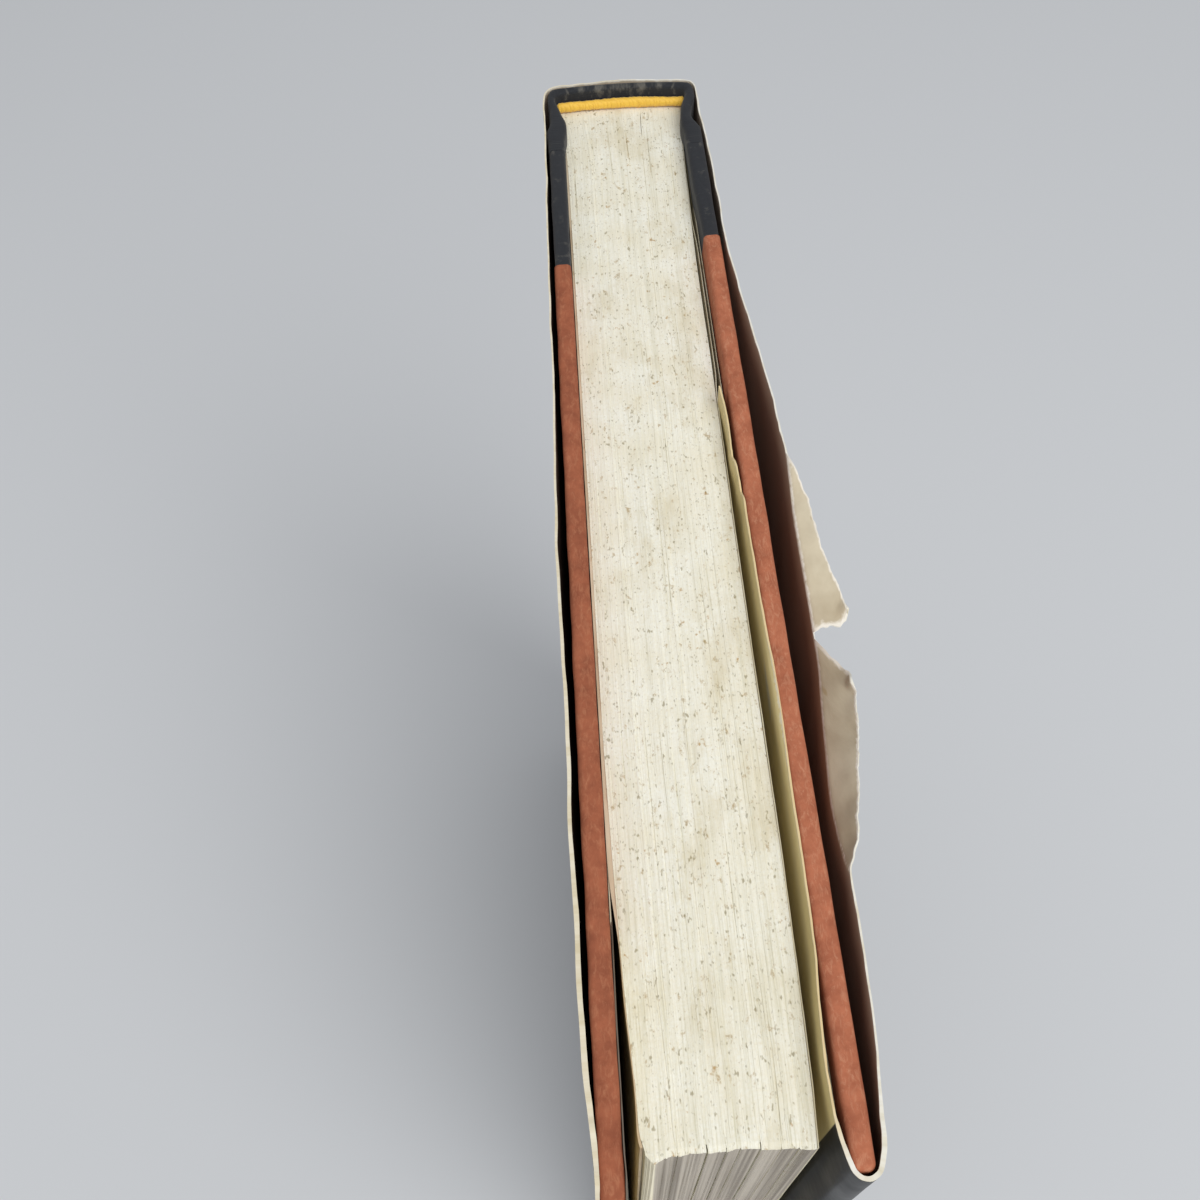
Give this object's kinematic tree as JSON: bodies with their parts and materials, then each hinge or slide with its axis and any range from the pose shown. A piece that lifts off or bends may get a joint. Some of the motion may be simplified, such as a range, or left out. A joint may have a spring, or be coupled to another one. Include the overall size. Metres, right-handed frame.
{
  "type": "hardcover book",
  "caption": "Case-bound hardcover book with cloth spine and paper-covered boards, in a loose worn dust jacket torn at the head, standing on its tail; both covers open.",
  "frame": {"origin": "middle of the footprint's bounding box, on the surface the book stands on", "axes": "+Z from tail to head, +Y from fore-edge to spine, -X towards the front cover and +X towards the back cover"},
  "size_m": [0.0322, 0.1496, 0.2191],
  "materials": {
    "leaves": "matte uncoated book paper, foxed at the head edge",
    "endpaper": "matte uncoated endpaper",
    "headband": "striped woven band rolled over a cord, soft sheen",
    "mull": "sized open-weave cotton",
    "lining_paper": "kraft paper, matte",
    "greyboard": "dense grey pulp board, matte",
    "book_cloth": "matte filled book cloth",
    "side_paper": "matte fibrous coloured paper",
    "jacket_paper": "glossy printed face, cream uncoated back, worn edges"
  },
  "bodies": {
    "book_block": {"text_block": "leaves", "front_free_endpaper": "endpaper", "back_free_endpaper": "endpaper", "headband": "headband", "tailband": "headband", "spine_mull": "mull", "spine_lining": "lining_paper", "spine_inlay": "greyboard", "spine_cloth": "book_cloth", "jacket_spine": "jacket_paper"},
    "front_cover": {"front_board": "greyboard", "front_cloth": "book_cloth", "front_side_paper": "side_paper", "front_mull_flange": "mull", "front_pastedown": "endpaper", "jacket_front": "jacket_paper"},
    "back_cover": {"back_board": "greyboard", "back_cloth": "book_cloth", "back_side_paper": "side_paper", "back_mull_flange": "mull", "back_pastedown": "endpaper", "jacket_back": "jacket_paper"}
  },
  "joints": [
    {"name": "front_cover_hinge", "type": "hinge", "parent": "book_block", "child": "front_cover", "pos_m": [-0.01289, 0.06966, 0.1095], "axis": [0, 0, -1], "range_deg": [0, 179.5]},
    {"name": "back_cover_hinge", "type": "hinge", "parent": "book_block", "child": "back_cover", "pos_m": [0.00511, 0.06966, 0.1095], "axis": [0, 0, 1], "range_deg": [-0.4, 179.3]}
  ]
}
